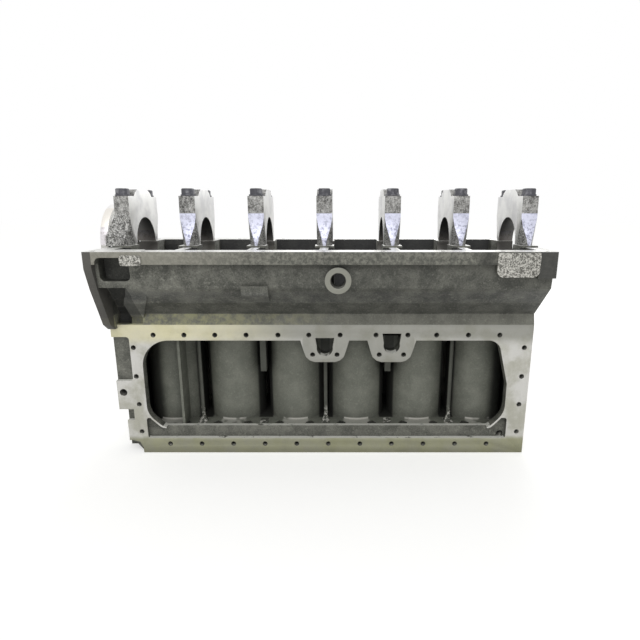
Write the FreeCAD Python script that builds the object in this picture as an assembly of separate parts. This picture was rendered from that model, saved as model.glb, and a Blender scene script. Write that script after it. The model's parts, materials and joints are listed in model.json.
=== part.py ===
"""Cylinder block of an in-line six diesel engine, with its main caps, standing on its head face.

+X runs along the crankshaft from the flywheel end to the pulley end, +Y from the cooler side
to the manifold side, and +Z from the head face to the pan rail. The origin is on the head face,
under the middle main bearing. All sizes are in millimetres.
"""
import FreeCAD
import Part
import math
import os
from FreeCAD import Vector

# Cylinders and bearings
CYLINDERS = 6
PITCH = 130.0                 # from one cylinder, or main bearing, to the next
BORE_R = 54.0
BARREL_R = 60.0               # outside of a cylinder barrel in the water jacket
HOUSING_R = 51.0              # main bearing housing, line-bored through block and caps

# Heights above the head face
RAIL_Z = 418.0                # pan rail
JOINT_Z = 421.0               # joint of the main caps, and crankshaft axis
RAIL_THICK = 22.0
ROOF_Z = 270.0                # crankcase side of the plate over the cylinders
JACKET_TOP_Z = 250.0
JACKET_FLOOR_Z = 51.0

# Lengths along the crankshaft
REAR_X = -416.0               # flywheel end face
FRONT_X = 406.0               # pulley end face
WEB = 16.0                    # bulkhead thickness
SADDLE = 36.0                 # bearing saddle thickness

# Widths from the crankshaft axis
COVER_Y = -110.0              # machined face of the cooler cover flange
COVER_PLATE = 18.0
JACKET_Y = 92.0
RAIL_Y = 184.0
RAIL_INSIDE_Y = 145.0
FAR_Y = 106.0                 # jacket wall on the manifold side

# Main caps
CAP = 30.0                    # cap thickness at the bolts
CAP_HALF = 76.0               # half the cap's width at the bolts
CAP_FOOT_HALF = 88.0
CAP_SEAT = 92.0               # bolt seats above the joint
CAP_CROWN = 105.0
CAP_MACHINED = 60.0           # top of the milled flank above the joint
BOLT_Y = 62.0
BOLT_R = 7.0                  # M14
BOLT_CLEAR_R = 7.5
BOLT_DEPTH = 62.0             # thread in the block
HEX_AF = 22.0
HEX_HEIGHT = 11.0
HEX_CHAMFER = 1.5
BOLT_FLANGE_R, BOLT_FLANGE = 14.0, 3.0
COLLAR_OUT_R, COLLAR_IN_R = 77.0, 68.0   # rear oil seal housing
COLLAR_LENGTH = 15.0
REAR_CAP_SHIFT = 5.0          # the wide rear cap stands this far forward of its bearing

# Cooler cover flange
COVER_BOLT_R = 4.25           # tapped M10
COVER_BOLT_DEPTH = 16.0
COVER_TOP_ROW_Z = 251.0
COVER_LOW_ROW_Z = 20.0
COVER_LOW_ROW_SHIFT = 6.0
COVER_END_ROWS_X = (-375.0, 391.0)
TAB_BOLT_Z = 211.0
PORT_X = (0.0, 131.0)         # oil ports in the tabs
PORT_TOP_Z = (245.0, 254.0)
PORT_HEIGHT = (37.0, 40.0)
TAB_LOW_Z = 196.0
OPENING_LOW_Z = 63.0
COVER_LIP = 2.5               # thin machined lip round the low corners of the opening
COVER_HOLLOW = 9.0            # depth of the as-cast hollows in the flange

# Tapped and drilled holes
HEAD_BOLT_R = 7.0
HEAD_BOLT_DEPTH = 42.0
RAIL_BOLT_R = 4.25
RAIL_BOLT_X = (-404.0, -315.0, -210.0, -105.0, 0.0, 105.0, 210.0, 315.0, 392.0)
RAIL_BOLT_Y = 168.0
RAIL_BOLT_DEPTH = 18.0
END_BOLT_R = 5.1              # tapped M12
END_BOLT_DEPTH = 15.0
REAR_BOLTS = ((152.0, 392.0), (86.0, 196.0), (58.0, 78.0))   # Y and Z, each side of the axis
FRONT_BOLTS = ((146.0, 396.0), (84.0, 84.0))
OIL_RETURN_SHIFT = -20.0      # oil returns stand beside the bulkheads, clear of them
GALLERY_R = 7.0
GALLERY_Y, GALLERY_Z = -76.0, 260.0
CORE_PLUG_R = 20.0
CORE_PLUG_X = (-325.0, -65.0, 195.0)
CORE_PLUG_Z = 150.0
DOWEL_R = 6.0
DOWEL_LENGTH = 20.0
DOWEL_PROUD = 8.0
REAR_DOWELS = ((-84.0, 302.0), (84.0, 302.0))   # Y and Z
DRAIN_R = 14.0
PAD_PROUD = 2.0               # rough pads that stand out from the machined rail edge
ENGINE_MOUNT = (96.0, 196.0, 300.0, 372.0)   # X and Z of the pad on the manifold side
ENGINE_MOUNT_Y = 178.0
FILTER_PAD = (-262.0, -168.0, 190.0, 226.0)  # X and Z
FILTER_PAD_Y = 118.0
PAD_BOLT_R = 5.1              # tapped M12

FACE_CLEAR = 1.0              # how far a cutting shape runs past the face it opens

CYLINDER_X = [(i - (CYLINDERS - 1) / 2) * PITCH for i in range(CYLINDERS)]
BEARING_X = [(i - CYLINDERS / 2) * PITCH for i in range(CYLINDERS + 1)]
CAP_X = [BEARING_X[0] + REAR_CAP_SHIFT] + BEARING_X[1:]
LENGTH = FRONT_X - REAR_X


def box(x0, x1, y0, y1, z0, z1):
    """Block between two corners."""
    return Part.makeBox(x1 - x0, y1 - y0, z1 - z0, Vector(x0, y0, z0))


def rod(x, y, z, radius, length, axis):
    """Cylinder from a point along an axis."""
    return Part.makeCylinder(radius, length, Vector(x, y, z), Vector(*axis))


def prism_x(points, x0, x1):
    """Outline in the Y-Z plane, drawn out along X."""
    path = [Vector(x0, y, z) for y, z in points]
    return Part.Face(Part.makePolygon(path + path[:1])).extrude(Vector(x1 - x0, 0, 0))


def prism_y(points, y0, y1):
    """Outline in the X-Z plane, drawn out along Y."""
    path = [Vector(x, y0, z) for x, z in points]
    return Part.Face(Part.makePolygon(path + path[:1])).extrude(Vector(0, y1 - y0, 0))


def round_edges(shape, radius, keep):
    """Fillet the straight edges for which keep(edge) holds."""
    edges = [e for e in shape.Edges if keep(e)]
    return shape.makeFillet(radius, edges) if edges else shape


def along(edge, axis):
    """Whether an edge is straight and lies along an axis."""
    if not isinstance(edge.Curve, (Part.Line, Part.LineSegment)):
        return False
    return abs(abs(edge.tangentAt(edge.FirstParameter).dot(Vector(*axis))) - 1) < 1e-6


def prism_z(points, z0, z1):
    """Outline in the X-Y plane, drawn out along Z."""
    path = [Vector(x, y, z0) for x, y in points]
    return Part.Face(Part.makePolygon(path + path[:1])).extrude(Vector(0, 0, z1 - z0))


def rounded_box(x0, x1, y0, y1, z0, z1, radius, axis):
    """Block whose four edges along one axis are rounded."""
    return round_edges(box(x0, x1, y0, y1, z0, z1), radius, lambda e: along(e, axis))


# The casting, outside

def outer_body():
    """Full-length section: cylinder part below, crankcase flaring out to the pan rail above."""
    section = [
        (COVER_Y, 0), (COVER_Y, ROOF_Z), (-104, 292), (-131, 317), (-168, 352), (-172, 396),
        (-RAIL_Y, RAIL_Z - RAIL_THICK), (-RAIL_Y, RAIL_Z),
        (RAIL_Y, RAIL_Z), (RAIL_Y, RAIL_Z - RAIL_THICK), (172, 396), (168, 352), (152, 318),
        (114, 274), (FAR_Y, 254), (FAR_Y, 0),
    ]
    return prism_x(section, REAR_X, FRONT_X)


def rear_flange():
    """Flywheel housing flange, standing out from the crankcase wall on both sides."""
    near = [(-100, 264), (-119, 265), (-137, 278), (-151, 308), (-171, 350), (-RAIL_Y, 388),
            (-RAIL_Y, RAIL_Z), (-100, RAIL_Z)]
    far = [(100, 218), (124, 258), (168, 312), (180, 352), (RAIL_Y, 390), (RAIL_Y, RAIL_Z),
           (100, RAIL_Z)]
    return [prism_x(near, REAR_X, REAR_X + 14), prism_x(far, REAR_X, REAR_X + 22)]


def oil_return_column(x):
    """Column down the manifold side, with a cored oil return inside."""
    x += OIL_RETURN_SHIFT
    section = [(x - 18, FAR_Y - 4), (x - 16, FAR_Y + 8), (x - 9, FAR_Y + 15),
               (x + 9, FAR_Y + 15), (x + 16, FAR_Y + 8), (x + 18, FAR_Y - 4)]
    return prism_z(section, 0, 268)


def oil_return(x):
    """Cored passage from a crank bay down to the head face."""
    x += OIL_RETURN_SHIFT
    return box(x - 8, x + 8, FAR_Y - 8, FAR_Y + 6, -FACE_CLEAR, 310)


def coolant_transfer(x, dx, dy):
    """Cored passage through the jacket floor to the head, beside a barrel."""
    section = [(x + dx * 22, dy * 72), (x + dx * 34, dy * 64),
               (x + dx * 42, dy * 76), (x + dx * 26, dy * 84)]
    return prism_z(section, -FACE_CLEAR, JACKET_FLOOR_Z + 2)


def manifold_side_pads():
    """Engine mount pad and filter pad on the manifold side."""
    x0, x1, z0, z1 = ENGINE_MOUNT
    y1 = ENGINE_MOUNT_Y
    mount = prism_x([(110, z0 - 28), (y1, z0), (y1, z1), (150, z1 + 18), (110, z1)], x0, x1)
    x0, x1, z0, z1 = FILTER_PAD
    return [mount, rounded_box(x0, x1, FAR_Y - 4, FILTER_PAD_Y, z0, z1, 10, (0, 1, 0))]


def pad_bolt_places():
    """X, face Y and Z of the tapped holes in the manifold side pads."""
    x0, x1, z0, z1 = ENGINE_MOUNT
    places = [(x, ENGINE_MOUNT_Y, z) for x in (x0 + 15, x1 - 15) for z in (z0 + 14, z1 - 14)]
    x0, x1, z0, z1 = FILTER_PAD
    return places + [(x, FILTER_PAD_Y, (z0 + z1) / 2) for x in (x0 + 17, x1 - 17)]


def front_pads():
    """As-cast pad and corner block under the rail at the pulley end, on both sides."""
    pads = []
    for side in (-1, 1):
        y0, y1 = sorted((side * 150.0, side * (RAIL_Y + PAD_PROUD)))
        pads.append(rounded_box(302, 376, y0, y1, 374, RAIL_Z + 10, 12, (0, 1, 0)))
        y0, y1 = sorted((side * 150.0, side * RAIL_Y))
        pads.append(box(375, FRONT_X, y0, y1, 372, RAIL_Z))
    below_rail = box(REAR_X, FRONT_X, -200, 200, 0, RAIL_Z - 2)
    return [pad.common(below_rail) for pad in pads]


def wall_bosses():
    """Round boss of the drain bore and the small pad beside it."""
    return [
        rod(26, -178, 367, 23.5, 40, (0, 1, 0)),
        prism_x([(-120, 324), (-150, 324), (-172, 340), (-175, 357), (-120, 357)], -147, -99),
    ]


def rear_rail_pad():
    """Rough pad that hangs from the rail over the corner of the upper pocket."""
    return rounded_box(-352, -315, -RAIL_Y - PAD_PROUD, -150, 394, RAIL_Z - 6, 4, (0, 1, 0))


def seal_collar(upper):
    """Half of the rear oil seal housing: the upper half is on the rear cap."""
    ring = rod(REAR_X - COLLAR_LENGTH, 0, JOINT_Z, COLLAR_OUT_R, COLLAR_LENGTH, (1, 0, 0))
    ring = ring.cut(rod(REAR_X - COLLAR_LENGTH, 0, JOINT_Z, COLLAR_IN_R, COLLAR_LENGTH, (1, 0, 0)))
    z0 = JOINT_Z if upper else JOINT_Z - 100
    return ring.common(box(REAR_X - COLLAR_LENGTH, REAR_X, -100, 100, z0, z0 + 100))


# The casting, inside

def hexagon(x, y, z, across_flats, height, across_top=None):
    """Hexagonal prism along Z, or a tapered one."""
    rings = []
    for level, size in ((z, across_flats), (z + height, across_top or across_flats)):
        corner = size / math.sqrt(3)
        ring = [Vector(x + corner * math.cos(math.radians(60 * i + 30)),
                       y + corner * math.sin(math.radians(60 * i + 30)), level) for i in range(6)]
        rings.append(Part.makePolygon(ring + ring[:1]))
    return Part.makeLoft(rings, True, True)


def barrel(x):
    """Solid of one cylinder barrel through the water jacket."""
    return rod(x, 0, JACKET_FLOOR_Z - 1, BARREL_R, JACKET_TOP_Z - JACKET_FLOOR_Z + 2, (0, 0, 1))


def jacket_posts():
    """Posts and webs between the barrels, and the thin rib before the rear barrel."""
    posts = [hexagon(x, -62, JACKET_FLOOR_Z - 1, 7, 202) for x in BEARING_X[1::2]]
    posts += [hexagon(x, -62, JACKET_FLOOR_Z - 1, 17, 15, 6.0) for x in BEARING_X[1::2]]
    posts += [box(x - 6, x + 6, -54, -20, 158, JACKET_TOP_Z + 1) for x in BEARING_X[2:5:2]]
    posts.append(box(-296, -291, -104, -45, JACKET_FLOOR_Z - 1, JACKET_TOP_Z + 1))
    gusset = [(-302, 241), (-289, 241), (-290, 224), (-295, 224)]
    posts.append(prism_y(gusset, COVER_Y, COVER_Y + COVER_PLATE))
    return posts


def water_jacket():
    """Space round the barrels, as one cutting shape."""
    space = rounded_box(-388, 386, -JACKET_Y, JACKET_Y, JACKET_FLOOR_Z, JACKET_TOP_Z,
                        24, (0, 0, 1))
    return space.cut([barrel(x) for x in CYLINDER_X] + jacket_posts())


def opening_outline(margin=0.0):
    """Opening in the cover flange, or the lip round it: straight sides with swept round ends."""
    rear = [(-304, 240), (-341, 227), (-360, 186), (-360, 100), (-350, 76), (-326, OPENING_LOW_Z)]
    front = [(318, 240), (337, 234), (346, 217), (363, 150), (363, 104), (354, 78),
             (332, OPENING_LOW_Z)]
    paths = []
    for side in (rear, front):
        path = []
        for x, z in side:
            up = margin if z > 200 else -margin if z < 90 else 0.0
            out = margin if abs(x) > 335 else 0.0
            path.append(Vector(x + math.copysign(out, x), COVER_Y - FACE_CLEAR, z + up))
        paths.append(path)
    edges = []
    for path in paths:
        edges.append(Part.Arc(*path[:3]).toShape())
        edges += [Part.LineSegment(p, q).toShape() for p, q in zip(path[2:-3], path[3:-2])]
        edges.append(Part.Arc(*path[-3:]).toShape())
    edges.append(Part.LineSegment(paths[0][0], paths[1][0]).toShape())
    edges.append(Part.LineSegment(paths[0][-1], paths[1][-1]).toShape())
    wire = Part.Wire(Part.__sortEdges__(edges))
    return Part.Face(wire).extrude(Vector(0, COVER_PLATE + 2 * FACE_CLEAR, 0))


def port_tab(x):
    """Tab that hangs into the opening and carries an oil port."""
    top, low = 241.0, TAB_LOW_Z
    half = [(48, top), (41, low + 21), (37, low + 10), (29, low + 3), (20, low)]
    outline = [(x - dx, z) for dx, z in half] + [(x + dx, z) for dx, z in reversed(half)]
    plate = prism_y(outline, COVER_Y, COVER_Y + 16)
    throat = prism_y([(x - 24, top), (x - 22, low + 4), (x + 22, low + 4), (x + 24, top)],
                     COVER_Y, -58)
    return plate.fuse(throat)


def port_hole(x, top, height):
    """D-shaped oil port: flat above, round below."""
    half, deep = 18.5, 38.0
    y = COVER_Y - FACE_CLEAR
    a, b = Vector(x - half, y, top), Vector(x + half, y, top)
    c, d = Vector(x + half - 3, y, top - height / 2), Vector(x - half + 3, y, top - height / 2)
    edges = [Part.LineSegment(a, b).toShape(), Part.LineSegment(b, c).toShape(),
             Part.Arc(c, Vector(x, y, top - height), d).toShape(),
             Part.LineSegment(d, a).toShape()]
    return Part.Face(Part.Wire(edges)).extrude(Vector(0, deep, 0))


def cover_recesses():
    """As-cast hollows in the cover flange: under the opening and down its rear edge."""
    y0, y1 = COVER_Y - FACE_CLEAR, COVER_Y + COVER_HOLLOW
    corner = [(REAR_X - 1, -1), (-376, -1), (-398, 27), (REAR_X - 1, 27)]
    hollow_corner = [(-402, 28), (-395, 28), (-381, 24), (-375, 12), (-375, -1), (-402, -1)]
    band = rounded_box(-363, 369, y0, y1, 33, 77, 5, (0, 1, 0))
    return [
        band.cut(opening_outline(COVER_LIP)),
        box(-324, 330, y0, y1, OPENING_LOW_Z - 10, OPENING_LOW_Z + 1),
        rounded_box(REAR_X - 9, -382, y0, y1, 157, 247, 6, (0, 1, 0)),
        box(-405, -387, y0, y1, 72, 96),
        box(REAR_X - 1, -402, y0, -70, -1, 96),
        prism_y(corner, y0, -70),
        prism_y(hollow_corner, y0, y1),
    ]


def rear_pockets():
    """Two deep pockets in the crankcase wall behind the flywheel flange."""
    upper = rounded_box(-396, -342, -190, -146, 365, 408, 9, (0, 1, 0))
    lower = prism_y([(-402, 353), (-353, 353), (-373, 317), (-373, 273), (-402, 273)], -190, -80)
    behind = prism_x([(-200, 360), (-146, 360), (-112, 322), (-90, 290), (-90, 272),
                      (-200, 272)], -410, -330)
    return [upper, lower.common(behind)]


def pocket_backing():
    """Thicker crankcase wall inside, behind the two pockets."""
    section = [(-150, RAIL_Z), (-134, RAIL_Z), (-134, 352), (-98, 314), (-70, ROOF_Z - 2),
               (-90, ROOF_Z - 2), (-150, 330)]
    return prism_x(section, -392, -324)


def crank_bays():
    """Crankcase space between the bulkheads, open at the pan rail."""
    top = RAIL_Z + FACE_CLEAR
    section = [
        (-RAIL_INSIDE_Y, top), (-RAIL_INSIDE_Y, 358), (-106, 318), (-78, 290), (-66, ROOF_Z),
        (70, ROOF_Z), (94, 288), (136, 336), (RAIL_INSIDE_Y, 360), (RAIL_INSIDE_Y, top),
    ]
    bays = []
    for left, right in zip(BEARING_X[:-1], BEARING_X[1:]):
        bays.append(prism_x(section, left + WEB / 2, right - WEB / 2))
    return bays


def saddle(x):
    """Thick part of a bulkhead that holds a main bearing and its two bolts."""
    section = [(-91, JOINT_Z), (-91, 398), (-60, 340), (-42, ROOF_Z - 5), (42, ROOF_Z - 5),
               (60, 340), (91, 398), (91, JOINT_Z)]
    x0, x1 = x - SADDLE / 2, min(x + SADDLE / 2, FRONT_X)
    return prism_x(section, x0, x1)


# Holes

def cylinder_bores():
    return [rod(x, 0, -FACE_CLEAR, BORE_R, ROOF_Z + 2 * FACE_CLEAR, (0, 0, 1))
            for x in CYLINDER_X]


def line_bores():
    """Main bearing tunnel and oil gallery, bored right through."""
    start, length = REAR_X - COLLAR_LENGTH - FACE_CLEAR, LENGTH + COLLAR_LENGTH + 2 * FACE_CLEAR
    return [
        rod(start, 0, JOINT_Z, HOUSING_R, length, (1, 0, 0)),
        rod(start, GALLERY_Y, GALLERY_Z, GALLERY_R, length, (1, 0, 0)),
    ]


def cover_bolt_places():
    """X and Z of the tapped holes of the cooler cover, row by row."""
    top = [-334, -274, -214, -153, -91, -31, 30, 100, 162, 218, 280, 341]
    low = [COVER_LOW_ROW_SHIFT + 65.0 * i for i in range(-5, 6)]
    places = [(x, COVER_TOP_ROW_Z) for x in top] + [(x, COVER_LOW_ROW_Z) for x in low]
    for x in COVER_END_ROWS_X:
        places += [(x, 47 + 59.5 * i) for i in range(4)]
    for x in PORT_X:
        places += [(x - 24, TAB_BOLT_Z), (x + 24, TAB_BOLT_Z)]
    return places


def tapped_holes():
    """Blind bolt holes of the cooler cover, pan rail, head face and end faces."""
    holes = [rod(x, COVER_Y - FACE_CLEAR, z, COVER_BOLT_R, COVER_BOLT_DEPTH, (0, 1, 0))
             for x, z in cover_bolt_places()]
    holes.append(rod(-404, COVER_Y - FACE_CLEAR, 132, 6.5, 24, (0, 1, 0)))
    holes += [rod(x, face - END_BOLT_DEPTH, z, PAD_BOLT_R, END_BOLT_DEPTH + FACE_CLEAR, (0, 1, 0))
              for x, face, z in pad_bolt_places()]
    for side in (-1, 1):
        for x in RAIL_BOLT_X:
            holes.append(rod(x, side * RAIL_BOLT_Y, RAIL_Z - RAIL_BOLT_DEPTH,
                             RAIL_BOLT_R, RAIL_BOLT_DEPTH + FACE_CLEAR, (0, 0, 1)))
        for x in BEARING_X:
            holes.append(rod(x, side * 72.0, -FACE_CLEAR, HEAD_BOLT_R,
                             HEAD_BOLT_DEPTH + FACE_CLEAR, (0, 0, 1)))
        for x in CAP_X:
            holes.append(rod(x, side * BOLT_Y, JOINT_Z - BOLT_DEPTH, BOLT_R,
                             BOLT_DEPTH + FACE_CLEAR, (0, 0, 1)))
        for y, z in REAR_BOLTS:
            holes.append(rod(REAR_X - FACE_CLEAR, side * y, z, END_BOLT_R, END_BOLT_DEPTH,
                             (1, 0, 0)))
        for y, z in FRONT_BOLTS:
            holes.append(rod(FRONT_X - END_BOLT_DEPTH, side * y, z, END_BOLT_R,
                             END_BOLT_DEPTH + FACE_CLEAR, (1, 0, 0)))
    return holes


def drilled_holes():
    """Drain bore, jacket drilling, oil returns, coolant transfers, core and dowel holes."""
    holes = [rod(26, -180, 367, DRAIN_R, 44, (0, 1, 0)), rod(359, -103, 39, 5, 16, (0, 1, 0))]
    for x in CYLINDER_X:
        holes += [coolant_transfer(x, dx, dy) for dx in (-1, 1) for dy in (-1, 1)]
    for x in CORE_PLUG_X:
        holes.append(rod(x, JACKET_Y - FACE_CLEAR, CORE_PLUG_Z, CORE_PLUG_R, 30, (0, 1, 0)))
    holes += [oil_return(x) for x in BEARING_X[1:-1]]
    inside = DOWEL_LENGTH - DOWEL_PROUD
    holes += [rod(REAR_X, y, z, DOWEL_R, inside, (1, 0, 0)) for y, z in REAR_DOWELS]
    return holes


def cylinder_block():
    """The whole casting."""
    solid = outer_body()
    added = rear_flange() + front_pads() + wall_bosses() + manifold_side_pads()
    added += [oil_return_column(x) for x in BEARING_X[1:-1]]
    solid = solid.fuse(added)
    solid = solid.cut(crank_bays())
    solid = solid.fuse([saddle(x) for x in CAP_X] + [pocket_backing(), seal_collar(False)])
    solid = solid.cut(rear_pockets() + cover_recesses()).fuse(rear_rail_pad())
    solid = solid.cut(water_jacket())
    solid = solid.cut(opening_outline())
    solid = solid.fuse([port_tab(x) for x in PORT_X])
    solid = solid.cut([port_hole(*port) for port in zip(PORT_X, PORT_TOP_Z, PORT_HEIGHT)])
    solid = solid.cut(cylinder_bores() + line_bores())
    solid = solid.cut(tapped_holes() + drilled_holes())
    return solid.removeSplitter()


# Main caps and their bolts

def cap_outline():
    """Arch of a cap in the Y-Z plane, from foot to foot over the crown."""
    half = [(CAP_FOOT_HALF, 0), (CAP_FOOT_HALF - 2, 14), (CAP_HALF + 2, 36), (CAP_HALF, 52),
            (CAP_HALF - 1, CAP_SEAT), (47, CAP_SEAT), (40, CAP_SEAT + 7), (28, CAP_CROWN)]
    right = [(y, JOINT_Z + z) for y, z in half]
    left = [(-y, z) for y, z in reversed(right)]
    return right + left


def pyramid(corners, tip):
    """Solid from a triangle to a point."""
    faces = [Part.Face(Part.makePolygon(corners + corners[:1]))]
    for a, b in zip(corners, corners[1:] + corners[:1]):
        faces.append(Part.Face(Part.makePolygon([a, b, tip, a])))
    return Part.Solid(Part.Shell(faces))


def flank_relief(edge, inward, side):
    """Cut down one corner of a cap, which brings its milled flank to a point at the foot."""
    foot, out, below = side * (CAP_FOOT_HALF + 1), edge - inward, JOINT_Z - 1
    corners = [Vector(out, foot, below), Vector(edge + inward * (CAP / 2 - 2), foot, below),
               Vector(out, side * (CAP_HALF - 16), below)]
    return pyramid(corners, Vector(out, side * CAP_HALF, JOINT_Z + CAP_MACHINED))


def main_cap(index):
    """Bearing cap with its bolt holes and its half of the bearing bore."""
    x = CAP_X[index]
    x0, x1 = x - CAP / 2, x + CAP / 2
    corners = [(x0, 1), (x1, -1)]
    if index == 0:
        x0, corners = REAR_X, corners[1:]
    cap = prism_x(cap_outline(), x0, x1)
    if index == 0:
        slope = [(x0 - 1, JOINT_Z + 16), (x0 + 18, JOINT_Z + 60), (x0 + 18, JOINT_Z + 120),
                 (x0 - 1, JOINT_Z + 120)]
        cap = cap.cut(prism_y(slope, -100, 100)).fuse(seal_collar(True))
    holes = [rod(x, side * BOLT_Y, JOINT_Z - 1, BOLT_CLEAR_R, CAP_SEAT + 2, (0, 0, 1))
             for side in (-1, 1)]
    reliefs = [flank_relief(edge, inward, side) for side in (-1, 1) for edge, inward in corners]
    bore = rod(x0 - 30, 0, JOINT_Z, HOUSING_R, 100, (1, 0, 0))
    return cap.cut(holes + reliefs + [bore]).removeSplitter()


def cap_bolt(x, y):
    """Flanged hex bolt down through a cap into the block."""
    seat = JOINT_Z + CAP_SEAT
    under_head = seat + BOLT_FLANGE
    straight = HEX_HEIGHT - HEX_CHAMFER
    flange = rod(x, y, seat, BOLT_FLANGE_R, BOLT_FLANGE, (0, 0, 1))
    head = hexagon(x, y, under_head, HEX_AF, straight)
    crown = hexagon(x, y, under_head + straight, HEX_AF, HEX_CHAMFER, HEX_AF - 2 * HEX_CHAMFER)
    length = CAP_SEAT + BOLT_DEPTH - 4
    shank = rod(x, y, seat - length, BOLT_R, length, (0, 0, 1))
    return flange.fuse([head, crown, shank]).removeSplitter()


# Pressed-in pieces

def core_plug(x):
    """Steel disc pressed into a core hole of the water jacket."""
    return rod(x, FAR_Y - 9, CORE_PLUG_Z, CORE_PLUG_R, 5, (0, 1, 0))


def gallery_plug(x, outward):
    """Screw plug with a hexagon socket at one end of the oil gallery."""
    body = rod(x, GALLERY_Y, GALLERY_Z, GALLERY_R, 14, (-outward, 0, 0))
    corner = 8 / math.sqrt(3)
    ring = [(GALLERY_Y + corner * math.cos(math.radians(60 * i)),
             GALLERY_Z + corner * math.sin(math.radians(60 * i))) for i in range(6)]
    return body.cut(prism_x(ring, x - outward * 8, x + outward))


def pieces():
    """Every sub-part by its node name."""
    parts = {"cylinder_block": cylinder_block()}
    for i, x in enumerate(CAP_X):
        parts[f"main_cap_{i + 1}"] = main_cap(i)
        for name, side in (("near", -1), ("far", 1)):
            parts[f"main_cap_bolt_{i + 1}_{name}"] = cap_bolt(x, side * BOLT_Y)
    for i, x in enumerate(CORE_PLUG_X):
        parts[f"core_plug_{i + 1}"] = core_plug(x)
    parts["oil_gallery_plug_rear"] = gallery_plug(REAR_X, -1)
    parts["oil_gallery_plug_front"] = gallery_plug(FRONT_X, 1)
    for name, (y, z) in zip(("near", "far"), REAR_DOWELS):
        parts[f"rear_dowel_{name}"] = rod(REAR_X - DOWEL_PROUD, y, z, DOWEL_R, DOWEL_LENGTH,
                                          (1, 0, 0))
    return parts


def main():
    os.makedirs("parts", exist_ok=True)
    for name, shape in pieces().items():
        solid = shape.Solids[0] if len(shape.Solids) == 1 else shape
        print(name, len(shape.Solids), shape.isValid(), round(shape.Volume / 1000, 1))
        solid.exportStep(f"parts/{name}.step")


main()
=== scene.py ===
"""Looks of a cast iron cylinder block: rounded casting edges, iron finishes, threads, stage.

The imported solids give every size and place. This script softens their edges, gives each
surface its finish, cuts threads in the visible holes and sets the floor, lamps and camera.
"""
import json
import math

import bmesh
import bpy
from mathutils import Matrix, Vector


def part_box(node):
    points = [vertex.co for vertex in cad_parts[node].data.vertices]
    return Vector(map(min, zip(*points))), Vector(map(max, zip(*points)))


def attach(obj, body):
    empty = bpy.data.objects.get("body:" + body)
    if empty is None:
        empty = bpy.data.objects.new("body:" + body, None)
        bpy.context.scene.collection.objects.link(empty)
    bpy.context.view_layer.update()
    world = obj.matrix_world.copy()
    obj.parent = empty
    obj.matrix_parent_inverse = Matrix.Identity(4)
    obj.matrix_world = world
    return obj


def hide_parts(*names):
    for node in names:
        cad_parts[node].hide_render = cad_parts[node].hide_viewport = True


bl_info = {
    "name": "Cylinder block looks",
    "version": (1, 0, 0),
    "blender": (4, 5, 0),
    "location": "3D View > Sidebar > Block",
    "description": "Finishes and fine details of a cast iron cylinder block",
    "category": "Object",
}

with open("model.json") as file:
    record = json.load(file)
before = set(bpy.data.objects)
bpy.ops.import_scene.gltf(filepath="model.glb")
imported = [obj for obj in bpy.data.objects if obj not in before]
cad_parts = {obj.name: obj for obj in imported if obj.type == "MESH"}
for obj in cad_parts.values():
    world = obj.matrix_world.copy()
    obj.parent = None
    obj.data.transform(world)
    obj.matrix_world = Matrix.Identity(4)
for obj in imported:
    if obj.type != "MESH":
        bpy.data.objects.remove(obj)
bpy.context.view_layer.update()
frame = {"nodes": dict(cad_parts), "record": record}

MM = 0.001
NODES = sorted(frame["nodes"])
MOUNTS = {m["name"]: m for m in frame["record"]["mounts"]}

# Planes and sizes of the block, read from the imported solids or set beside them
BLOCK_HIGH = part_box("cylinder_block")[1]
DRAIN = Vector(MOUNTS["drain_bore"]["pos_m"])
MOUNT_PAD_Y = MOUNTS["engine_mount_face"]["pos_m"][1]
FILTER_PAD_Y = MOUNTS["filter_pad_bolts"]["pos_m"][1]
RAIL_EDGE = BLOCK_HIGH.y - 2 * MM          # the rough pads stand 2 mm proud of it
JACKET_FLOOR_Z, JACKET_TOP_Z = 51 * MM, 250 * MM
ROOF_Z = 270 * MM                          # bottom of the crankcase, above the jacket
FAR_WALL_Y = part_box("core_plug_1")[1].y + 4 * MM     # the core plugs sit 4 mm inside it
COVER_FACE_Y = MOUNTS["cooler_cover_face"]["pos_m"][1]
RAIL_TOP_Z = MOUNTS["near_pan_rail"]["pos_m"][2]
REAR_FACE_X = MOUNTS["rear_face"]["pos_m"][0]
FRONT_FACE_X = MOUNTS["front_face"]["pos_m"][0]
CRANK_Z = MOUNTS["main_bearing_line"]["pos_m"][2]
HOUSING_R = MOUNTS["main_bearing_line"]["dims"]["r_mm"] * MM
BORE_R = MOUNTS["cylinder_bore_1"]["dims"]["r_mm"] * MM
CYLINDERS_X = [MOUNTS[n]["pos_m"][0] for n in sorted(MOUNTS) if n.startswith("cylinder_bore_")]
JOINT_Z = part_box("main_cap_2")[0].z
CAP_MILLED_Z = JOINT_Z + 60 * MM           # the caps' ends are milled up to here
HOLLOW_DEPTH = 9 * MM                      # from the cover face back to the cast hollow


def linear(hex_colour):
    """sRGB hex colour as linear red, green, blue and alpha."""
    channels = [int(hex_colour[i:i + 2], 16) / 255 for i in (1, 3, 5)]
    return tuple(c / 12.92 if c <= 0.04045 else ((c + 0.055) / 1.055) ** 2.4
                 for c in channels) + (1.0,)


# The solids have drilled tapping holes; the real mouths are this much wider
COVER_HOLE_OPENING = 1.15
DRAIN_HOLE_OPENING = 1.35


# Sizes and colours

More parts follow.
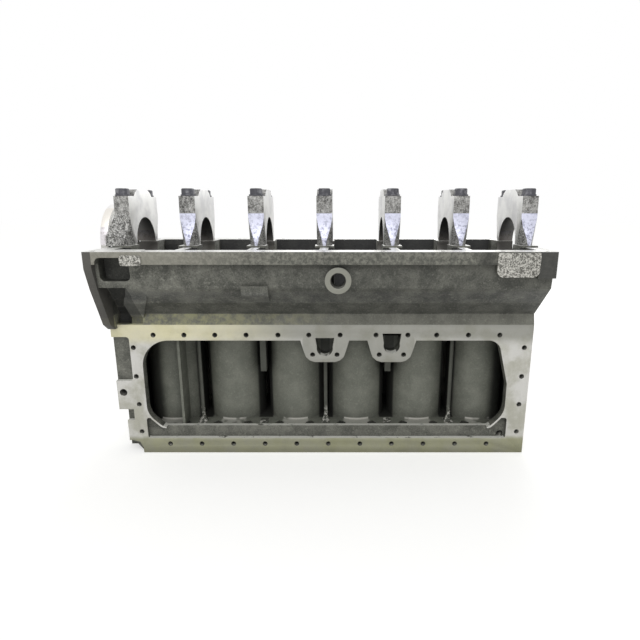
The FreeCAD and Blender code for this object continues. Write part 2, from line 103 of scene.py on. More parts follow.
class BlockIronSettings(bpy.types.PropertyGroup):
    """Finish of the casting."""
    casting_light: bpy.props.FloatVectorProperty(
        name="Casting, light", description="Light patches of the sand-cast skin",
        subtype="COLOR", size=4, default=linear("#85857c"), min=0, max=1)
    casting_dark: bpy.props.FloatVectorProperty(
        name="Casting, dark", description="Dark patches of the sand-cast skin",
        subtype="COLOR", size=4, default=linear("#464741"), min=0, max=1)
    jacket_skin: bpy.props.FloatVectorProperty(
        name="Jacket skin", description="Cast skin inside the water jacket",
        subtype="COLOR", size=4, default=linear("#7d8075"), min=0, max=1)
    milled: bpy.props.FloatVectorProperty(
        name="Milled face", description="Clean milled grey iron",
        subtype="COLOR", size=4, default=linear("#cbcac6"), min=0, max=1)
    milled_stain: bpy.props.FloatVectorProperty(
        name="Milled face, stained", description="Oil-stained milled iron",
        subtype="COLOR", size=4, default=linear("#a9a89c"), min=0, max=1)
    oil_film: bpy.props.FloatVectorProperty(
        name="Oil film", description="Yellowish dried oil on the milled face",
        subtype="COLOR", size=4, default=linear("#d9d2a6"), min=0, max=1)
    oil_olive: bpy.props.FloatVectorProperty(
        name="Olive stain", description="Olive stain along the strip next to the head",
        subtype="COLOR", size=4, default=linear("#87876c"), min=0, max=1)
    rough_light: bpy.props.FloatVectorProperty(
        name="Rough pad", description="Bright peaks of the rough pads on the pan rail",
        subtype="COLOR", size=4, default=linear("#dcdad2"), min=0, max=1)
    chalk: bpy.props.FloatVectorProperty(
        name="Core wash", description="White core wash left at the feet of the barrels",
        subtype="COLOR", size=4, default=linear("#e9e7de"), min=0, max=1)
    grain: bpy.props.FloatProperty(
        name="Sand grain", description="Grain of the moulding sand, drawn coarse enough to show",
        default=2.6 * MM, min=0.2 * MM, max=10 * MM, subtype="DISTANCE", unit="LENGTH")
    patch: bpy.props.FloatProperty(
        name="Patch size", description="Size of the lighter and darker patches",
        default=34 * MM, min=5 * MM, max=200 * MM, subtype="DISTANCE", unit="LENGTH")
    cutter_step: bpy.props.FloatProperty(
        name="Cutter step", description="Spacing of the milling cutter's arcs, drawn coarse",
        default=6.32 * MM, min=0.5 * MM, max=20 * MM, subtype="DISTANCE", unit="LENGTH")
    hone_step: bpy.props.FloatProperty(
        name="Honing step",
        description="Spacing of the crossed honing lines up the bore, drawn coarse",
        default=2.4 * MM, min=0.2 * MM, max=10 * MM, subtype="DISTANCE", unit="LENGTH")
    edge: bpy.props.FloatProperty(
        name="Edge rounding", description="Width of the rounding on the block's edges",
        default=1.2 * MM, min=0, max=5 * MM, subtype="DISTANCE", unit="LENGTH")


class CapIronSettings(bpy.types.PropertyGroup):
    """Finish of the main bearing caps."""
    flank: bpy.props.FloatVectorProperty(
        name="Milled flank", description="Cold grey of a fresh milled flank",
        subtype="COLOR", size=4, default=linear("#fbfbf9"), min=0, max=1)
    lilac: bpy.props.FloatVectorProperty(
        name="Milled end", description="Cold blue grey of the milled ends",
        subtype="COLOR", size=4, default=linear("#d9dbf2"), min=0, max=1)
    speckle_dark: bpy.props.FloatVectorProperty(
        name="Cast skin, dark", description="Pits of the cap's cast skin",
        subtype="COLOR", size=4, default=linear("#4a4946"), min=0, max=1)
    speckle_light: bpy.props.FloatVectorProperty(
        name="Cast skin, light", description="Peaks of the cap's cast skin",
        subtype="COLOR", size=4, default=linear("#c4c3c0"), min=0, max=1)
    edge: bpy.props.FloatProperty(
        name="Edge rounding", description="Broken edge of a cap",
        default=1.0 * MM, min=0, max=4 * MM, subtype="DISTANCE", unit="LENGTH")


class BoltSteelSettings(bpy.types.PropertyGroup):
    """Finish of the bolts, plugs and dowels."""
    phosphate: bpy.props.FloatVectorProperty(
        name="Phosphated steel", description="Dark phosphate coat of the cap bolts",
        subtype="COLOR", size=4, default=linear("#55555a"), min=0, max=1)
    plug: bpy.props.FloatVectorProperty(
        name="Plug steel", description="Pressed steel of the core and gallery plugs",
        subtype="COLOR", size=4, default=linear("#9b978a"), min=0, max=1)
    dowel: bpy.props.FloatVectorProperty(
        name="Dowel steel", description="Ground steel of the dowels",
        subtype="COLOR", size=4, default=linear("#c9c9c6"), min=0, max=1)
    edge: bpy.props.FloatProperty(
        name="Edge rounding", description="Broken edge of a bolt head",
        default=0.5 * MM, min=0, max=2 * MM, subtype="DISTANCE", unit="LENGTH")


class StageSettings(bpy.types.PropertyGroup):
    """Floor, lamps and camera."""
    floor_colour: bpy.props.FloatVectorProperty(
        name="Floor", description="Pale floor",
        subtype="COLOR", size=4, default=linear("#f4f4f2"), min=0, max=1)
    floor_glow: bpy.props.FloatProperty(
        name="Floor white", description="White added to the floor where the camera sees it",
        default=0.62, min=0, max=1)
    ambient: bpy.props.FloatProperty(
        name="Ambient light", description="Strength of the even light from all sides",
        default=0.42, min=0, max=3)
    key: bpy.props.FloatProperty(
        name="Key lamp", description="Power of the large lamp above the cover side",
        default=26.0, min=0, max=500, unit="POWER")
    fill: bpy.props.FloatProperty(
        name="Fill lamp", description="Power of the lamp on the manifold side",
        default=14.0, min=0, max=500, unit="POWER")
    lens: bpy.props.FloatProperty(
        name="Lens", description="Focal length of the camera in millimetres",
        default=28.07, min=10, max=200)


# Materials

# Inputs and output of a Mix node: values by default, colours where data_type is RGBA
VALUE_A, VALUE_B, COLOUR_A, COLOUR_B, COLOUR_OUT = 2, 3, 6, 7, 2
# The rings of a wave texture of scale 1 lie this far apart
RING_SPACING = 2 * math.pi / 20


def add(tree, kind, inputs=(), out=0, **settings):
    """Add a shader node with its settings and inputs, sockets or values, and give an output."""
    item = tree.nodes.new("ShaderNode" + kind)
    for key, value in settings.items():
        setattr(item, key, value)
    for key, source in inputs.items() if isinstance(inputs, dict) else enumerate(inputs):
        if isinstance(source, bpy.types.NodeSocket):
            tree.links.new(source, item.inputs[key])
        else:
            item.inputs[key].default_value = source
    return item.outputs[out] if item.outputs else None


def new_material(name):
    """Empty node material and its tree."""
    material = bpy.data.materials.new(name)
    material.use_nodes = True
    material.node_tree.nodes.clear()
    return material, material.node_tree


def surface(tree):
    """Place and true normal of the surface, as sockets: vector, (x, y, z), (nx, ny, nz)."""
    place = add(tree, "TexCoord", out="Object")
    normal = add(tree, "NewGeometry", out="True Normal")
    where = add(tree, "SeparateXYZ", (place,)).node.outputs
    facing = add(tree, "SeparateXYZ", (normal,)).node.outputs
    return place, list(where), list(facing)


def above(tree, value, level):
    """1 above a level."""
    return add(tree, "Math", (value, level), operation="GREATER_THAN")


def below(tree, value, level):
    """1 below a level."""
    return add(tree, "Math", (value, level), operation="LESS_THAN")


def fade(tree, value, start, end):
    """0 before start, 1 past end, smooth between."""
    return add(tree, "MapRange", (value, start, end), interpolation_type="SMOOTHSTEP", clamp=True)


def all_of(tree, masks):
    """Product of several masks or values."""
    result = masks[0]
    for mask in masks[1:]:
        result = add(tree, "Math", (result, mask), operation="MULTIPLY")
    return result


def any_of(tree, masks):
    """Largest of several masks."""
    result = masks[0]
    for mask in masks[1:]:
        result = add(tree, "Math", (result, mask), operation="MAXIMUM")
    return result


def between(tree, value, low, high, soft):
    """1 between two levels of a value, fading over a soft width at each."""
    return all_of(tree, [fade(tree, value, low - soft, low + soft),
                         fade(tree, value, high + soft, high - soft)])


def on_plane(tree, where, facing, axis, sign, level, slack=0.4 * MM):
    """1 on the faces that look along a signed axis at or beyond a level of that axis."""
    looks = above(tree, all_of(tree, [facing[axis], sign]), 0.9)
    beyond = above(tree, all_of(tree, [where[axis], sign]), level * sign - slack)
    return all_of(tree, [looks, beyond])


def in_tube(tree, across, centre_across, upward, centre_up, radius):
    """1 within a radius of an axis."""
    a = add(tree, "Math", (across, centre_across), operation="SUBTRACT")
    b = add(tree, "Math", (upward, centre_up), operation="SUBTRACT")
    squares = [add(tree, "Math", (side, side), operation="MULTIPLY") for side in (a, b)]
    return below(tree, add(tree, "Math", squares, operation="ADD"), radius * radius)


def coat(tree, colour, mask, strength, paint):
    """Colour with another laid over it where a mask is 1."""
    if strength < 1:
        mask = all_of(tree, [mask, strength])
    return add(tree, "Mix", {0: mask, COLOUR_A: colour, COLOUR_B: paint}, COLOUR_OUT,
               data_type="RGBA")


def painted_hollow_shade(tree, reach, samples=6):
    """Painted shade: 0 in the open, 1 deep in corners and hollows, where the light is blocked."""
    light = add(tree, "AmbientOcclusion", {"Distance": reach}, "AO", samples=samples)
    return add(tree, "Math", (1.0, light), operation="SUBTRACT")


def cast_skin(tree, place, grain, patch, dark, light):
    """Colour and height of sand-cast iron: patches, sand grain and light specks."""
    patches = add(tree, "TexNoise",
                  {"Vector": place, "Scale": 1 / patch, "Detail": 5.0, "Roughness": 0.62})
    sand = add(tree, "TexNoise",
               {"Vector": place, "Scale": 1 / grain, "Detail": 3.0, "Roughness": 0.7})
    specks = add(tree, "TexNoise",
                 {"Vector": place, "Scale": 0.45 / grain, "Detail": 2.0, "Roughness": 0.5})
    tone = add(tree, "Math", (all_of(tree, [patches, 0.6]), all_of(tree, [sand, 0.4])),
               operation="ADD")
    colour = coat(tree, dark, fade(tree, tone, 0.36, 0.66), 1, light)
    colour = coat(tree, colour, fade(tree, specks, 0.58, 0.72), 0.35, linear("#a9a99e"))
    height = add(tree, "Math", (all_of(tree, [sand, 0.6]), all_of(tree, [specks, 0.9])),
                 operation="ADD")
    return colour, height


def milled_face(tree, place, cutter_step, clean, stain):
    """Colour and height of a milled face: oil stains, fine scratches, faint cutter arcs."""
    arcs = add(tree, "TexWave",
               {"Vector": place, "Scale": RING_SPACING / cutter_step, "Distortion": 1.2,
                "Detail": 2.0, "Detail Scale": 1.5},
               wave_type="RINGS", rings_direction="SPHERICAL")
    stains = add(tree, "TexNoise", {"Vector": place, "Scale": 1 / (58.82 * MM), "Detail": 6.0,
                                    "Roughness": 0.6})
    colour = coat(tree, clean, fade(tree, stains, 0.44, 0.66), 1, stain)
    # Real scratches are hair-thin; these are 2.4 mm wide, so that they show
    scratches = add(tree, "TexNoise", {"Vector": place, "Scale": 1 / (2.381 * MM),
                                       "Detail": 2.0, "Roughness": 0.6})
    return coat(tree, colour, scratches, 0.22, linear("#e7e5dc")), arcs


def finish_iron(tree, colour, milled, heights, roughness):
    """Shader of part-cast, part-milled iron; heights and roughness are for cast and milled."""
    cast_height, milled_height = heights
    height = add(tree, "Mix", {0: milled, VALUE_A: cast_height,
                               VALUE_B: all_of(tree, [milled_height, 0.12])})
    bump = add(tree, "Bump", {"Strength": 0.55, "Distance": 0.7 * MM, "Height": height})
    # Scale on the cast skin and oil on the milled faces hide much of the metal
    metallic = add(tree, "Mix", {0: milled, VALUE_A: 0.2, VALUE_B: 0.6})
    rough = add(tree, "Mix", {0: milled, VALUE_A: roughness[0], VALUE_B: roughness[1]})
    shader = add(tree, "BsdfPrincipled", {"Base Color": colour, "Metallic": metallic,
                                          "Roughness": rough, "Normal": bump})
    add(tree, "OutputMaterial", (shader,))


def off_barrel(tree, x):
    """Distance along the crankshaft from the nearest barrel's axis."""
    start = add(tree, "Math", (x, CYLINDERS_X[0]), operation="SUBTRACT")
    half_pitch = (CYLINDERS_X[1] - CYLINDERS_X[0]) / 2
    return add(tree, "Math", (start, half_pitch), operation="PINGPONG")


def milled_regions(tree, where, facing):
    """Machined faces of the casting: flanges, rails, ends, pads, boss and collar."""
    side = add(tree, "Math", (where[1],), operation="ABSOLUTE")
    cover = all_of(tree, [on_plane(tree, where, facing, 1, -1, COVER_FACE_Y),
                          above(tree, where[1], COVER_FACE_Y - 1 * MM)])
    boss = all_of(tree, [below(tree, facing[1], -0.9),
                         in_tube(tree, where[0], DRAIN.x, where[2], DRAIN.z, 24 * MM),
                         below(tree, where[1], DRAIN.y - 17.5 * MM)])
    pads = all_of(tree, [above(tree, facing[1], 0.9), any_of(tree, [
        between(tree, where[1], y, y, 0.5 * MM) for y in (MOUNT_PAD_Y, FILTER_PAD_Y)])])
    return any_of(tree, [
        cover, boss, pads,
        on_plane(tree, where, facing, 2, 1, RAIL_TOP_Z),
        on_plane(tree, where, facing, 2, -1, 0.0),
        on_plane(tree, where, facing, 0, -1, REAR_FACE_X),
        on_plane(tree, where, facing, 0, 1, FRONT_FACE_X),
        below(tree, where[0], REAR_FACE_X - 0.2 * MM),
        all_of(tree, [in_tube(tree, where[1], 0.0, where[2], CRANK_Z, HOUSING_R + 0.4 * MM),
                      below(tree, side, HOUSING_R + 1 * MM)]),
    ])


def honed_bores(tree, where):
    """1 on the walls of the cylinder bores."""
    return any_of(tree, [in_tube(tree, where[0], x, where[1], 0.0, BORE_R + 0.4 * MM)
                         for x in CYLINDERS_X])


def honing(tree, where, spacing):
    """Height of crossed honing lines round a bore, at about 30 degrees to its mouth."""
    turn = add(tree, "Math", (where[1], off_barrel(tree, where[0])), operation="ARCTAN2")
    round_wall = all_of(tree, [turn, BORE_R])
    lines = []
    for slant in (0.6, -0.6):
        level = add(tree, "Math", (where[2], all_of(tree, [round_wall, slant])), operation="ADD")
        angle = all_of(tree, [level, 2 * math.pi / spacing])
        lines.append(add(tree, "Math", (angle,), operation="SINE"))
    return add(tree, "Math", lines, operation="ADD")


def jacket_colour(tree, place, where, skin, settings):
    """Water jacket: plain barrels, painted shade that makes the valleys and ends black and the
    webs dark, chalky feet.
    """
    jacket = all_of(tree, [below(tree, where[2], JACKET_TOP_Z + 0.5 * MM),
                           above(tree, where[2], JACKET_FLOOR_Z - 0.5 * MM),
                           above(tree, where[1], COVER_FACE_Y + 17.5 * MM),
                           below(tree, where[1], FAR_WALL_Y - 12 * MM)])
    skin = coat(tree, skin, jacket, 0.6, tuple(settings.jacket_skin))
    away = off_barrel(tree, where[0])
    # Painted shade: the valleys between the barrels are painted near black
    deep = above(tree, where[1], -46 * MM)
    skin = coat(tree, skin, all_of(tree, [jacket, deep, fade(tree, away, 48 * MM, 52 * MM)]),
                0.92, linear("#0a0a09"))
    # Painted shade on the fronts of the webs
    webs = all_of(tree, [jacket, below(tree, where[1], -50 * MM), above(tree, away, 56 * MM)])
    skin = coat(tree, skin, webs, 0.62, linear("#2b2c28"))
    # Painted shade at the two ends of the jacket, darkest at the end walls
    ends = any_of(tree, [fade(tree, where[0], -334 * MM, -352 * MM),
                         fade(tree, where[0], 338 * MM, 358 * MM)])
    skin = coat(tree, skin, all_of(tree, [jacket, ends]), 0.8, linear("#131413"))
    chalk = tuple(settings.chalk)
    lumps = add(tree, "TexNoise", {"Vector": place, "Scale": 1 / (62.5 * MM), "Detail": 3.0,
                                   "Roughness": 0.7})
    feet = all_of(tree, [jacket, between(tree, where[2], JACKET_FLOOR_Z, JACKET_FLOOR_Z + 4 * MM,
                                         1 * MM),
                         below(tree, where[1], -54 * MM), fade(tree, away, 30 * MM, 24 * MM),
                         fade(tree, lumps, 0.40, 0.50)])
    skin = coat(tree, skin, feet, 0.95, chalk)
    drops = add(tree, "TexNoise", {"Vector": place, "Scale": 1 / (7.692 * MM), "Detail": 3.0,
                                   "Roughness": 0.7})
    spatter = all_of(tree, [webs, fade(tree, where[2], 90 * MM, 70 * MM),
                            fade(tree, drops, 0.50, 0.60)])
    return coat(tree, skin, spatter, 0.8, chalk)


def wall_colour(tree, place, where, facing, skin):
    """Outside walls: painted shade on the undercut, painted light on the ledge, painted shade
    inside the crankcase and in the rear pockets.
    """
    side = add(tree, "Math", (where[1],), operation="ABSOLUTE")
    outside = above(tree, side, 103 * MM)
    # Painted shade on the undercut band, which looks down
    undercut = all_of(tree, [outside, between(tree, where[2], 293 * MM, 319 * MM, 2.5 * MM)])
    skin = coat(tree, skin, undercut, 0.55, linear("#30312d"))
    # Painted shade under the rail, darker towards the front
    upper = all_of(tree, [outside, above(tree, where[2], 345 * MM),
                          fade(tree, where[0], -300 * MM, 0.0)])
    skin = coat(tree, skin, upper, 0.35, linear("#3d3e3a"))
    band = all_of(tree, [outside, between(tree, where[2], 320 * MM, 345 * MM, 3 * MM)])
    skin = coat(tree, skin, band, 0.30, linear("#4a4b4e"))
    # Painted light on the ledge, which looks up
    ledge = all_of(tree, [between(tree, where[2], ROOF_Z, ROOF_Z + 22 * MM, 0.6 * MM),
                          below(tree, where[1], COVER_FACE_Y + HOLLOW_DEPTH)])
    skin = coat(tree, skin, ledge, 0.45, linear("#85857b"))
    streaks = add(tree, "TexNoise", {"Vector": place, "Scale": 1 / (16.67 * MM), "Detail": 3.0,
                                     "Roughness": 0.7})
    # Olive oil streaks along the ledge, painted lighter still as lit from above
    oily_and_lit = all_of(tree, [ledge, fade(tree, where[0], 100 * MM, -320 * MM),
                         fade(tree, streaks, 0.35, 0.65)])
    skin = coat(tree, skin, oily_and_lit, 0.75, linear("#adac84"))
    # Painted shade inside the crankcase: on what looks at the crankshaft or lies near it, except
    # the webs' sides
    web_side = add(tree, "Math", (facing[0],), operation="ABSOLUTE")
    inside = all_of(tree, [below(tree, side, 150 * MM), above(tree, where[2], ROOF_Z + 3 * MM),
                           below(tree, where[2], RAIL_TOP_Z - 0.5 * MM),
                           below(tree, web_side, 0.5)])
    inward = add(tree, "Math", (all_of(tree, [where[1], -1.0]),), operation="SIGN")
    shell = any_of(tree, [below(tree, side, 100 * MM),
                          above(tree, all_of(tree, [facing[1], inward]), 0.2)])
    skin = coat(tree, skin, all_of(tree, [inside, shell]), 0.8, linear("#1c1c20"))
    # Painted shade in the rear pockets
    pockets = all_of(tree, [between(tree, where[0], -400 * MM, -352 * MM, 0.5 * MM),
                            between(tree, where[2], 274 * MM, 406 * MM, 1 * MM),
                            below(tree, side, 168 * MM), above(tree, side, 95 * MM)])
    return coat(tree, skin, pockets, 0.6, linear("#191a18"))


def rail_colour(tree, place, where, skin, settings):
    """Edge of the pan rail: lighter to the rear, dark blocks and bright rough pads."""
    side = add(tree, "Math", (where[1],), operation="ABSOLUTE")
    edge = above(tree, side, RAIL_EDGE - 0.6 * MM)
    mottle = add(tree, "TexNoise", {"Vector": place, "Scale": 1 / (8.333 * MM), "Detail": 4.0,
                                    "Roughness": 0.75})
    tone = coat(tree, linear("#55564f"), fade(tree, mottle, 0.38, 0.64), 1, linear("#8f8e84"))
    skin = coat(tree, skin, edge, 0.75, tone)
    rearward = fade(tree, where[0], -50 * MM, -330 * MM)
    skin = coat(tree, skin, all_of(tree, [edge, rearward]), 0.55, linear("#a8a599"))
    dark = all_of(tree, [edge, between(tree, where[0], 270 * MM, 300 * MM, 12 * MM)])
    skin = coat(tree, skin, dark, 0.65, linear("#262624"))
    corner = all_of(tree, [edge, above(tree, where[0], FRONT_FACE_X - 30.5 * MM)])
    skin = coat(tree, skin, corner, 0.85, linear("#40403e"))
    rim = all_of(tree, [below(tree, where[0], REAR_FACE_X + 14.5 * MM),
                        above(tree, side, 120 * MM)])
    skin = coat(tree, skin, rim, 0.9, linear("#53514d"))
    peaks = add(tree, "TexNoise", {"Vector": place, "Scale": 1 / (3.03 * MM), "Detail": 3.0,
                                   "Roughness": 0.85})
    pad = above(tree, side, RAIL_EDGE + 1.2 * MM)
    speckle = coat(tree, linear("#5f5e58"), fade(tree, peaks, 0.42, 0.60), 1,
                   tuple(settings.rough_light))
    return coat(tree, skin, pad, 1, speckle), all_of(tree, [pad, peaks])


def casting_colour(tree, place, where, facing, settings):
    """Colour and height of the as-cast regions."""
    skin, height = cast_skin(tree, place, settings.grain, settings.patch,
                             tuple(settings.casting_dark), tuple(settings.casting_light))
    skin = jacket_colour(tree, place, where, skin, settings)
    skin = wall_colour(tree, place, where, facing, skin)
    skin, peaks = rail_colour(tree, place, where, skin, settings)
    hollow_y = COVER_FACE_Y + HOLLOW_DEPTH
    hollow = all_of(tree, [between(tree, where[1], hollow_y, hollow_y, 1 * MM),
                           below(tree, facing[1], -0.9)])
    skin = coat(tree, skin, hollow, 0.55, linear("#84857c"))
    return skin, add(tree, "Math", (height, peaks), operation="ADD")


def painted_shelf_highlight(tree, place, where, facing):
    """1 on the narrow shelves of the cover side that look up: a painted highlight, for the light
    they catch from above, broken up by noise.
    """
    highlight_breaks = add(tree, "TexNoise", {"Vector": place, "Scale": 1 / (18.18 * MM), "Detail": 3.0,
                                  "Roughness": 0.7})
    return all_of(tree, [above(tree, facing[2], 0.8), below(tree, where[1], -91.5 * MM),
                         between(tree, where[2], 30 * MM, 235 * MM, 1 * MM),
                         above(tree, where[1], COVER_FACE_Y - 2 * MM),
                         fade(tree, highlight_breaks, 0.30, 0.44)])


def flange_colour(tree, place, where, facing, settings):
    """Colour and height of the milled faces, with oil stains where they gather, a painted
    highlight on the rail top and painted shade on the saddles.
    """
    face, height = milled_face(tree, place, settings.cutter_step,
                               tuple(settings.milled), tuple(settings.milled_stain))
    on_side = all_of(tree, [below(tree, where[1], COVER_FACE_Y + 1 * MM),
                            below(tree, facing[1], -0.9)])
    upper = fade(tree, where[2], 226 * MM, 252 * MM)
    lower = fade(tree, where[2], 40 * MM, 28 * MM)
    rearward = fade(tree, where[0], -30 * MM, -300 * MM)
    forward = fade(tree, where[0], -300 * MM, -60 * MM)
    tabs = all_of(tree, [above(tree, where[2], 190 * MM),
                         between(tree, where[0], -45 * MM, 177 * MM, 4 * MM)])
    blotches = add(tree, "TexNoise", {"Vector": place, "Scale": 1 / (41.67 * MM), "Detail": 5.0,
                                      "Roughness": 0.7})
    blotch = fade(tree, blotches, 0.30, 0.62)
    greyer = any_of(tree, [all_of(tree, [upper, forward]), tabs])
    for mask, strength, paint in (
            ([greyer], 0.72, linear("#84847b")),
            ([upper, rearward], 0.55, tuple(settings.oil_film)),
            ([upper, rearward, blotch], 0.35, linear("#e6e0b6")),
            ([lower], 0.75, tuple(settings.oil_olive)),
            ([lower, blotch], 0.3, linear("#a9a97c"))):
        face = coat(tree, face, all_of(tree, mask + [on_side]), strength, paint)
    # Painted highlight on the top of the pan rail
    top = all_of(tree, [above(tree, facing[2], 0.9), above(tree, where[2], RAIL_TOP_Z - MM)])
    face = coat(tree, face, top, 0.75, linear("#f6f6f3"))
    boss = all_of(tree, [in_tube(tree, where[0], DRAIN.x, where[2], DRAIN.z, 25 * MM),
                         below(tree, where[1], -150 * MM)])
    face = coat(tree, face, boss, 0.8, linear("#8a8a80"))
    # Painted shade on the bearing saddles
    saddles = all_of(tree, [in_tube(tree, where[1], 0.0, where[2], CRANK_Z, HOUSING_R + 0.4 * MM),
                            below(tree, where[2], CRANK_Z - 0.5 * MM)])
    return coat(tree, face, saddles, 0.92, linear("#2b2824")), height


def block_iron(settings):
    """Grey iron, sand cast and part milled: mottled dull skin, pale flanges, painted shade in the
    hollows.
    """
    material, tree = new_material("sand_cast_and_milled_grey_iron")
    place, where, facing = surface(tree)
    bores = honed_bores(tree, where)
    milled = any_of(tree, [milled_regions(tree, where, facing), bores])
    skin, skin_height = casting_colour(tree, place, where, facing, settings)
    face, face_height = flange_colour(tree, place, where, facing, settings)
    face = coat(tree, face, bores, 0.5, linear("#8d8d8a"))
    face_height = add(tree, "Mix", {0: bores, VALUE_A: face_height,
                                    VALUE_B: honing(tree, where, settings.hone_step)})
    colour = coat(tree, skin, milled, 1, face)
    # Painted shade, darkest deep in corners and hollows
    colour = coat(tree, colour, painted_hollow_shade(tree, 38 * MM), 0.72, linear("#1b1c19"))
    # Painted highlight on the shelves that look up
    colour = coat(tree, colour, painted_shelf_highlight(tree, place, where, facing), 0.8, linear("#ecece4"))
    finish_iron(tree, colour, milled, (skin_height, face_height), (0.62, 0.42))
    return material


def cap_iron(settings, all_cast):
    """Grey iron cap: bright milled sides and ends, speckled cast top; one cap's ends stay cast."""
    material, tree = new_material("sand_cast_cap_iron" if all_cast else "milled_cap_iron")
    place, where, facing = surface(tree)
    # Sand grain drawn coarse, as on the block
    skin, skin_height = cast_skin(tree, place, 2 * MM, 9 * MM,
                                  tuple(settings.speckle_dark), tuple(settings.speckle_light))
    salt = add(tree, "TexNoise", {"Vector": place, "Scale": 1 / (2.326 * MM), "Detail": 2.0,
                                  "Roughness": 0.8})
    low = fade(tree, where[2], CAP_MILLED_Z + 8 * MM, CAP_MILLED_Z - 12 * MM)
    strong = add(tree, "Mix", {0: low, VALUE_A: 0.3, VALUE_B: 0.8})
    for start, end, paint in ((0.52, 0.62, "#efefec"), (0.46, 0.38, "#2f2f30")):
        mask = all_of(tree, [fade(tree, salt, start, end), strong])
        skin = coat(tree, skin, mask, 1, linear(paint))
    face, face_height = milled_face(tree, place, 3.95 * MM, tuple(settings.flank),
                                    linear("#dededf"))
    sides = above(tree, add(tree, "Math", (facing[0],), operation="ABSOLUTE"), 0.9)
    flank = above(tree, add(tree, "Math", (facing[1],), operation="ABSOLUTE"), 0.9)
    ends = all_of(tree, [flank, below(tree, where[2], CAP_MILLED_Z)])
    face = coat(tree, face, ends, 0.8, tuple(settings.lilac))
    scuffs = add(tree, "TexNoise", {"Vector": place, "Scale": 1 / (6.667 * MM), "Detail": 5.0,
                                    "Roughness": 0.75})
    worn = add(tree, "Mix", {0: fade(tree, where[2], CAP_MILLED_Z, JOINT_Z + 15 * MM),
                             VALUE_A: 0.35, VALUE_B: 0.85})
    mask = all_of(tree, [ends, fade(tree, scuffs, 0.46, 0.62), worn])
    face = coat(tree, face, mask, 1, linear("#6d6f86"))
    seat = above(tree, facing[2], 0.9)
    bore = in_tube(tree, where[1], 0.0, where[2], CRANK_Z, HOUSING_R + 0.4 * MM)
    milled = [sides, seat, bore]
    if all_cast:
        collar = below(tree, where[0], REAR_FACE_X - 0.2 * MM)
        milled.append(collar)
        face = coat(tree, face, collar, 0.5, linear("#efe6da"))
    else:
        milled.append(ends)
    milled = any_of(tree, milled)
    shade = coat(tree, linear("#151412"), fade(tree, where[2], JOINT_Z + 34 * MM, JOINT_Z), 1,
                 linear("#5a554b"))
    face = coat(tree, face, bore, 0.92, shade)
    # Painted highlight on the seats, which look up
    face = coat(tree, face, seat, 0.7, linear("#fafafa"))
    colour = coat(tree, skin, milled, 1, face)
    # Painted shade in the corners and hollows of the cap
    colour = coat(tree, colour, painted_hollow_shade(tree, 12 * MM, 4), 0.3, linear("#2a2a27"))
    finish_iron(tree, colour, milled, (skin_height, face_height), (0.6, 0.45))
    return material


def steel(name, colour, worn, roughness, metallic, grain):
    """Steel or cut iron with a fine grain and worn patches."""
    material, tree = new_material(name)
    place = add(tree, "TexCoord", out="Object")
    grains = add(tree, "TexNoise",
                 {"Vector": place, "Scale": 1 / grain, "Detail": 4.0, "Roughness": 0.65})
    wear = add(tree, "TexNoise", {"Vector": place, "Scale": 1 / (11.11 * MM), "Detail": 4.0})
    bump = add(tree, "Bump", {"Strength": 0.35, "Distance": 0.3 * MM, "Height": grains})
    shader = add(tree, "BsdfPrincipled",
                 {"Base Color": coat(tree, colour, fade(tree, wear, 0.5, 0.72), 1, worn),
                  "Metallic": metallic, "Roughness": roughness, "Normal": bump})
    add(tree, "OutputMaterial", (shader,))
    return material


# Meshes

def trim_cap_foot(work, node):
    """Take the 0.2 mm ledge off the foot of a cap's milled end, which would show as a bar."""
    half_cap = 15 * MM
    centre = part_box(node)[1].x - half_cap
    for vert in work.verts:
        rise, reach = vert.co.z - JOINT_Z, vert.co.x - centre
        # Half width of the milled end, which widens upwards from the foot
        half_end = 4.8 * MM + 0.229 * (rise - 11.2 * MM)
        on_ledge = 11 * MM < rise < 15.5 * MM and abs(vert.co.y) > 85.4 * MM
        if on_ledge and half_end < abs(reach) < half_cap + 1 * MM:
            vert.co.x = centre + math.copysign(half_end, reach)
    bmesh.ops.remove_doubles(work, verts=work.verts, dist=0.02 * MM)


def widen_hole(work, mouth, radius, depth, factor):
    """Open one hole of the cover side from its drilled size to its wider mouth."""
    for vert in work.verts:
        dx, dz = vert.co.x - mouth.x, vert.co.z - mouth.z
        if math.hypot(dx, dz) < radius + 0.1 * MM and mouth.y - MM < vert.co.y < mouth.y + depth:
            vert.co.x, vert.co.z = mouth.x + dx * factor, mouth.z + dz * factor


def fit_casting(work, node):
    """Lower the long edge of the cover opening, open the holes, trim the pocket's wall."""
    opening_x, flat_reach, end_reach = 3 * MM, 335 * MM, 17 * MM
    edge_z, corner_height, drop = 63 * MM, 14 * MM, 6 * MM
    slab_x, trimmed_x = -324 * MM, -351 * MM
    for vert in work.verts:
        x, y, z = vert.co
        on_lip = COVER_FACE_Y - MM < y < -90 * MM
        if on_lip and edge_z - 3 * MM < z < edge_z + corner_height:
            near_end = min(max((abs(x - opening_x) - flat_reach) / end_reach, 0), 1)
            rise = max(z - edge_z, 0) / corner_height
            vert.co.z -= drop * (1 - rise) ** 2 * (1 - near_end)
        if abs(x - slab_x) < 0.5 * MM and 280 * MM < z < 328 * MM and y < -98 * MM:
            vert.co.x = trimmed_x
    for name, mount in MOUNTS.items():
        if name.startswith(("cover_", "port_tab")) and mount["kind"] != "flat_face":
            radius = mount["dims"].get("r_mm", mount["dims"].get("hole_r_mm")) * MM
            for mouth in hole_mouths(mount):
                widen_hole(work, mouth, radius, 26 * MM, COVER_HOLE_OPENING)
    drain = MOUNTS["jacket_drain"]
    widen_hole(work, hole_mouths(drain)[0], drain["dims"]["r_mm"] * MM, 40 * MM,
               DRAIN_HOLE_OPENING)


